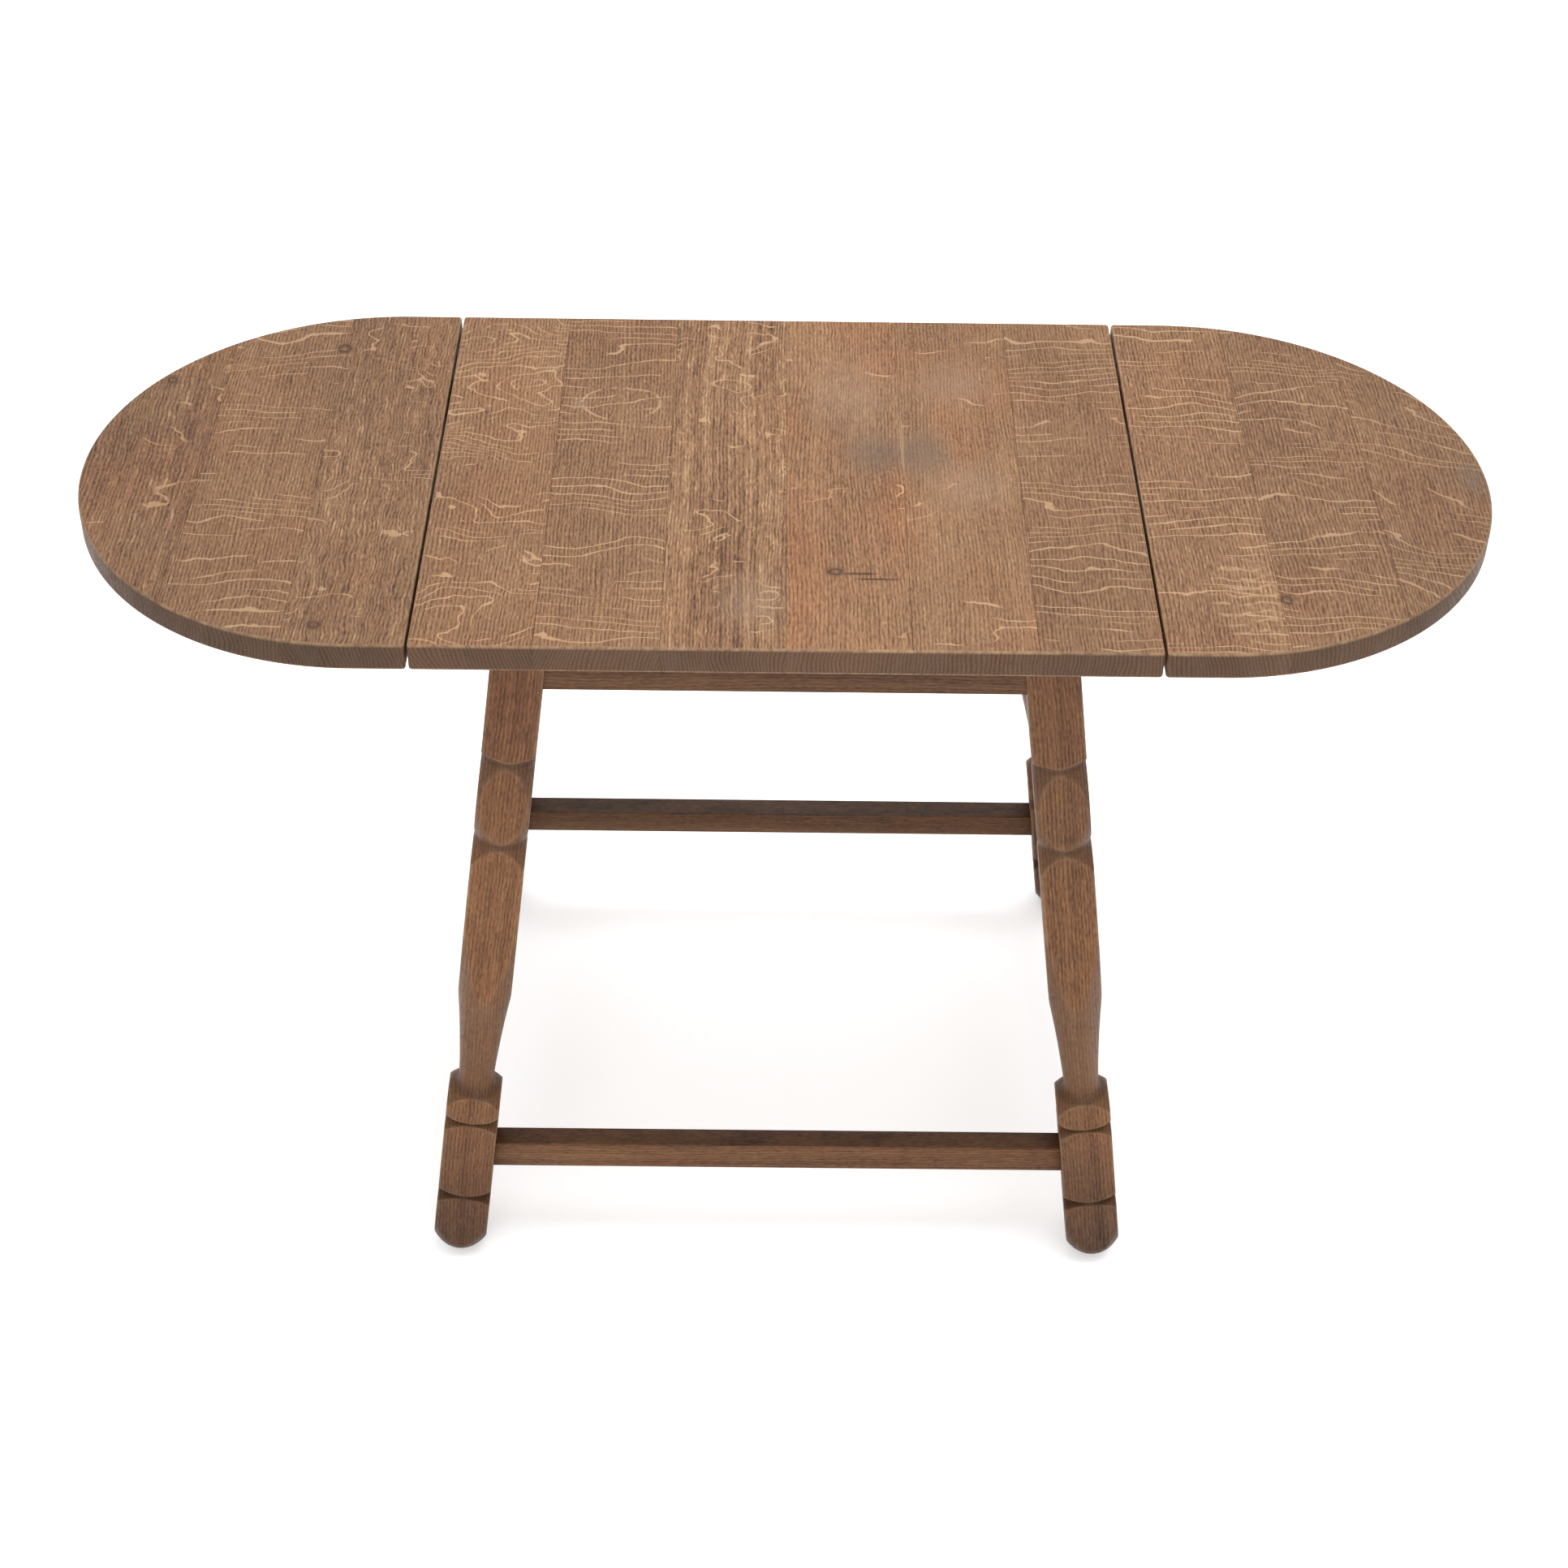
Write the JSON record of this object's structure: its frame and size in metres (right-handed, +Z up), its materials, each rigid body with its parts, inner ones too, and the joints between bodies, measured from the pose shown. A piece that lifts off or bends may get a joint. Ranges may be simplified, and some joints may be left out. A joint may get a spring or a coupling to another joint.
{
  "type": "drop leaf table",
  "caption": "Oval table with a flat centre top, a rounded drop leaf hinged on each side, folding stays, splayed part-turned legs, an apron frame and a low box stretcher.",
  "frame": {"origin": "on the floor, below the middle of the top", "axes": "+Z up, +X along the table from one leaf to the other, front of the table on -Y"},
  "size_m": [1.204, 0.5432, 0.71],
  "materials": {
    "oak_top": "waxed oak, worn edges, quarter-sawn ray figure",
    "oak_leg": "mid-brown stained oak, satin",
    "oak_rail": "dark stained oak, satin",
    "hinge_steel": "dull aged steel",
    "stay_brass": "tarnished brass"
  },
  "bodies": {
    "base": {"centre_stave_1": "oak_top", "centre_stave_2": "oak_top", "centre_stave_3": "oak_top", "centre_stave_4": "oak_top", "centre_stave_5": "oak_top", "centre_stave_6": "oak_top", "leg_front_left": "oak_leg", "leg_front_right": "oak_leg", "leg_rear_left": "oak_leg", "leg_rear_right": "oak_leg", "apron_front": "oak_rail", "apron_rear": "oak_rail", "apron_left": "oak_rail", "apron_right": "oak_rail", "stretcher_front": "oak_rail", "stretcher_rear": "oak_rail", "stretcher_left": "oak_rail", "stretcher_right": "oak_rail", "glue_block_front_1": "oak_rail", "glue_block_front_2": "oak_rail", "glue_block_rear_1": "oak_rail", "glue_block_rear_2": "oak_rail", "glue_block_left": "oak_rail", "glue_block_right": "oak_rail", "hinge_left_front_fixed_flap": "hinge_steel", "hinge_left_front_pin": "hinge_steel", "hinge_left_rear_fixed_flap": "hinge_steel", "hinge_left_rear_pin": "hinge_steel", "stay_left_apron_bracket": "stay_brass", "stay_left_apron_pin": "stay_brass", "hinge_right_front_fixed_flap": "hinge_steel", "hinge_right_front_pin": "hinge_steel", "hinge_right_rear_fixed_flap": "hinge_steel", "hinge_right_rear_pin": "hinge_steel", "stay_right_apron_bracket": "stay_brass", "stay_right_apron_pin": "stay_brass"},
    "left_leaf": {"left_leaf_stave_1": "oak_top", "left_leaf_stave_2": "oak_top", "left_leaf_stave_3": "oak_top", "hinge_left_front_leaf_flap": "hinge_steel", "hinge_left_rear_leaf_flap": "hinge_steel", "stay_left_leaf_bracket": "stay_brass", "stay_left_leaf_pin": "stay_brass"},
    "right_leaf": {"right_leaf_stave_1": "oak_top", "right_leaf_stave_2": "oak_top", "right_leaf_stave_3": "oak_top", "hinge_right_front_leaf_flap": "hinge_steel", "hinge_right_rear_leaf_flap": "hinge_steel", "stay_right_leaf_bracket": "stay_brass", "stay_right_leaf_pin": "stay_brass"},
    "left_lower_bar": {"stay_left_lower_bar": "stay_brass"},
    "left_upper_bar": {"stay_left_upper_bar": "stay_brass"},
    "right_lower_bar": {"stay_right_lower_bar": "stay_brass"},
    "right_upper_bar": {"stay_right_upper_bar": "stay_brass"}
  },
  "joints": [
    {"name": "left_leaf_fold", "type": "hinge", "parent": "base", "child": "left_leaf", "pos_m": [-0.3, 0, 0.6822], "axis": [0, -1, 0], "range_deg": [0, 90]},
    {"name": "left_lower_bar_turn", "type": "hinge", "parent": "base", "child": "left_lower_bar", "pos_m": [-0.2545, 0, 0.6422], "axis": [0, -1, 0], "range_deg": [0, 99.3]},
    {"name": "left_upper_bar_turn", "type": "hinge", "parent": "left_leaf", "child": "left_upper_bar", "pos_m": [-0.39, 0, 0.6722], "axis": [0, -1, 0], "range_deg": [-100.6, 0]},
    {"name": "right_leaf_fold", "type": "hinge", "parent": "base", "child": "right_leaf", "pos_m": [0.3, 0, 0.6822], "axis": [0, 1, 0], "range_deg": [0, 90]},
    {"name": "right_lower_bar_turn", "type": "hinge", "parent": "base", "child": "right_lower_bar", "pos_m": [0.2545, 0, 0.6422], "axis": [0, 1, 0], "range_deg": [0, 99.3]},
    {"name": "right_upper_bar_turn", "type": "hinge", "parent": "right_leaf", "child": "right_upper_bar", "pos_m": [0.39, 0, 0.6722], "axis": [0, 1, 0], "range_deg": [-100.6, 0]}
  ],
  "couplings": [
    {"joint": "left_lower_bar_turn", "follows": "left_leaf_fold", "ratio": 1.1031},
    {"joint": "left_upper_bar_turn", "follows": "left_leaf_fold", "ratio": -1.117},
    {"joint": "right_lower_bar_turn", "follows": "right_leaf_fold", "ratio": 1.1031},
    {"joint": "right_upper_bar_turn", "follows": "right_leaf_fold", "ratio": -1.117}
  ]
}
